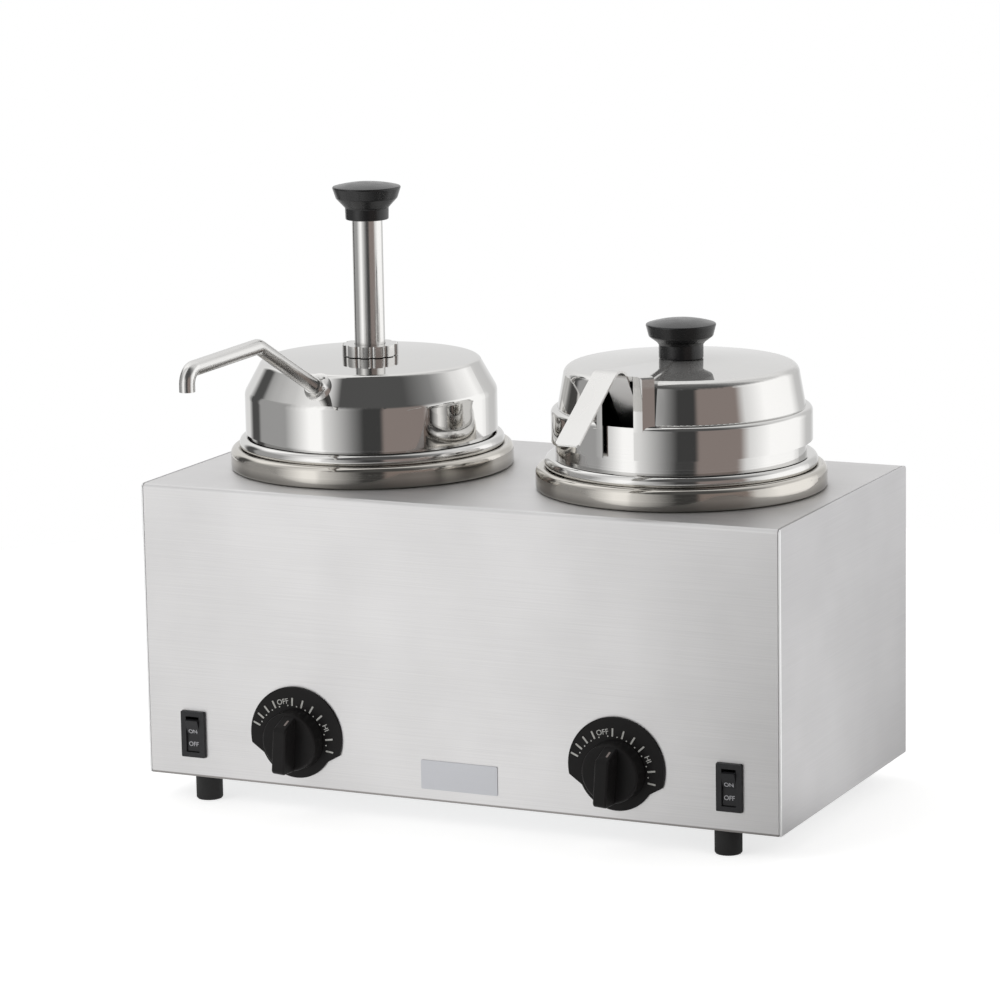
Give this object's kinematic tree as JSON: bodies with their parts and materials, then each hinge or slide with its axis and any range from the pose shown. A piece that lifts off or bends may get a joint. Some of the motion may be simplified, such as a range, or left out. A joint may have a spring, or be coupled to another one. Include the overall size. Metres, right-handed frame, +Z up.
{
  "type": "food topping warmer",
  "caption": "Twin-well countertop topping warmer: brushed steel housing, hot wells with lift-out jars, a push pump with spout and a ladle under a notched lid.",
  "frame": {"origin": "on the table under the middle of the whole object, spout and cord gland included", "axes": "+X to the right along the two wells, +Y to the back, +Z up; the front with the dials faces -Y"},
  "size_m": [0.4422, 0.3781, 0.3947],
  "materials": {
    "brushed_stainless": "fine horizontal brushed grain",
    "galvanised_steel": "plain galvanised sheet",
    "plated_fasteners": "bright zinc plate",
    "foot_rubber": "matt black",
    "satin_stainless": "drawn and buffed",
    "polished_stainless": "mirror-polished stainless steel",
    "spring_steel": "bright drawn stainless wire",
    "element_sheath": "dark heat-tinted sheath",
    "thermostat_case": "plain heat-proof moulding",
    "dial_black": "satin black",
    "knob_black": "moulded, soft gloss",
    "switch_black": "fine matt moulding",
    "pump_acetal": "natural white, machined",
    "seal_rubber": "soft black rubber"
  },
  "bodies": {
    "warmer_base": {"front_panel": "brushed_stainless", "deck_panel": "brushed_stainless", "rear_panel": "brushed_stainless", "left_end_panel": "brushed_stainless", "right_end_panel": "brushed_stainless", "base_plate": "galvanised_steel", "left_element_clamp": "galvanised_steel", "right_element_clamp": "galvanised_steel", "foot_screws": "plated_fasteners", "foot_nuts": "plated_fasteners", "element_studs": "plated_fasteners", "element_nuts": "plated_fasteners", "front_left_foot": "foot_rubber", "front_right_foot": "foot_rubber", "rear_left_foot": "foot_rubber", "rear_right_foot": "foot_rubber", "left_well": "satin_stainless", "right_well": "satin_stainless", "left_well_rim": "satin_stainless", "right_well_rim": "satin_stainless", "left_heating_element": "element_sheath", "right_heating_element": "element_sheath", "left_thermostat": "thermostat_case", "right_thermostat": "thermostat_case", "terminal_block": "thermostat_case", "left_dial_plate": "dial_black", "right_dial_plate": "dial_black", "left_switch_body": "switch_black", "right_switch_body": "switch_black", "cord_gland": "switch_black", "cord_gland_nut": "switch_black"},
    "left_dial": {"left_control_knob": "knob_black", "left_thermostat_shaft": "plated_fasteners"},
    "right_dial": {"right_control_knob": "knob_black", "right_thermostat_shaft": "plated_fasteners"},
    "left_power_rocker": {"left_switch_rocker": "switch_black"},
    "right_power_rocker": {"right_switch_rocker": "switch_black"},
    "left_jar_unit": {"left_jar": "polished_stainless"},
    "right_jar_unit": {"right_jar": "polished_stainless"},
    "pump_unit": {"pump_lid": "polished_stainless", "pump_cylinder": "pump_acetal", "valve_body": "pump_acetal", "valve_ball": "spring_steel", "discharge_tube": "polished_stainless", "spout_ferrule": "polished_stainless", "return_spring": "spring_steel"},
    "pump_collar": {"lock_collar": "polished_stainless"},
    "pump_plunger": {"plunger_tube": "polished_stainless", "piston": "pump_acetal", "piston_seal": "seal_rubber", "pump_knob": "knob_black"},
    "ladle_cover": {"ladle_lid": "polished_stainless", "lid_knob": "knob_black", "lid_knob_screw": "plated_fasteners"},
    "serving_ladle": {"ladle": "polished_stainless"}
  },
  "joints": [
    {"name": "left_jar_lift", "type": "slide", "parent": "warmer_base", "child": "left_jar_unit", "axis": [0, 0, 1], "range_m": [0, 0.15]},
    {"name": "right_jar_lift", "type": "slide", "parent": "warmer_base", "child": "right_jar_unit", "axis": [0, 0, 1], "range_m": [0, 0.15]},
    {"name": "pump_lift", "type": "slide", "parent": "left_jar_unit", "child": "pump_unit", "axis": [0, 0, 1], "range_m": [0, 0.17]},
    {"name": "plunger_press", "type": "slide", "parent": "pump_unit", "child": "pump_plunger", "axis": [0, 0, -1], "range_m": [0, 0.072], "stiffness_N_per_m": 400, "springref_m": -0.03, "deforming": ["return_spring"]},
    {"name": "collar_turn", "type": "hinge", "parent": "pump_unit", "child": "pump_collar", "pos_m": [-0.11, 0.06205, 0.285], "axis": [0, 0, 1], "range_deg": [0, 90]},
    {"name": "ladle_cover_lift", "type": "slide", "parent": "right_jar_unit", "child": "ladle_cover", "axis": [0, 0, 1], "range_m": [0, 0.08]},
    {"name": "ladle_draw", "type": "slide", "parent": "right_jar_unit", "child": "serving_ladle", "axis": [-0.0515, -0.5348, 0.8434], "range_m": [0, 0.12]},
    {"name": "left_dial_turn", "type": "hinge", "parent": "warmer_base", "child": "left_dial", "pos_m": [-0.112, -0.05095, 0.0482], "axis": [0, -1, 0], "range_deg": [-100, 100]},
    {"name": "left_rocker_tip", "type": "hinge", "parent": "warmer_base", "child": "left_power_rocker", "pos_m": [-0.1875, -0.04795, 0.0443], "axis": [1, 0, 0], "range_deg": [-18, 0]},
    {"name": "right_dial_turn", "type": "hinge", "parent": "warmer_base", "child": "right_dial", "pos_m": [0.112, -0.05095, 0.0482], "axis": [0, -1, 0], "range_deg": [-100, 100]},
    {"name": "right_rocker_tip", "type": "hinge", "parent": "warmer_base", "child": "right_power_rocker", "pos_m": [0.1875, -0.04795, 0.0443], "axis": [1, 0, 0], "range_deg": [-18, 0]}
  ]
}
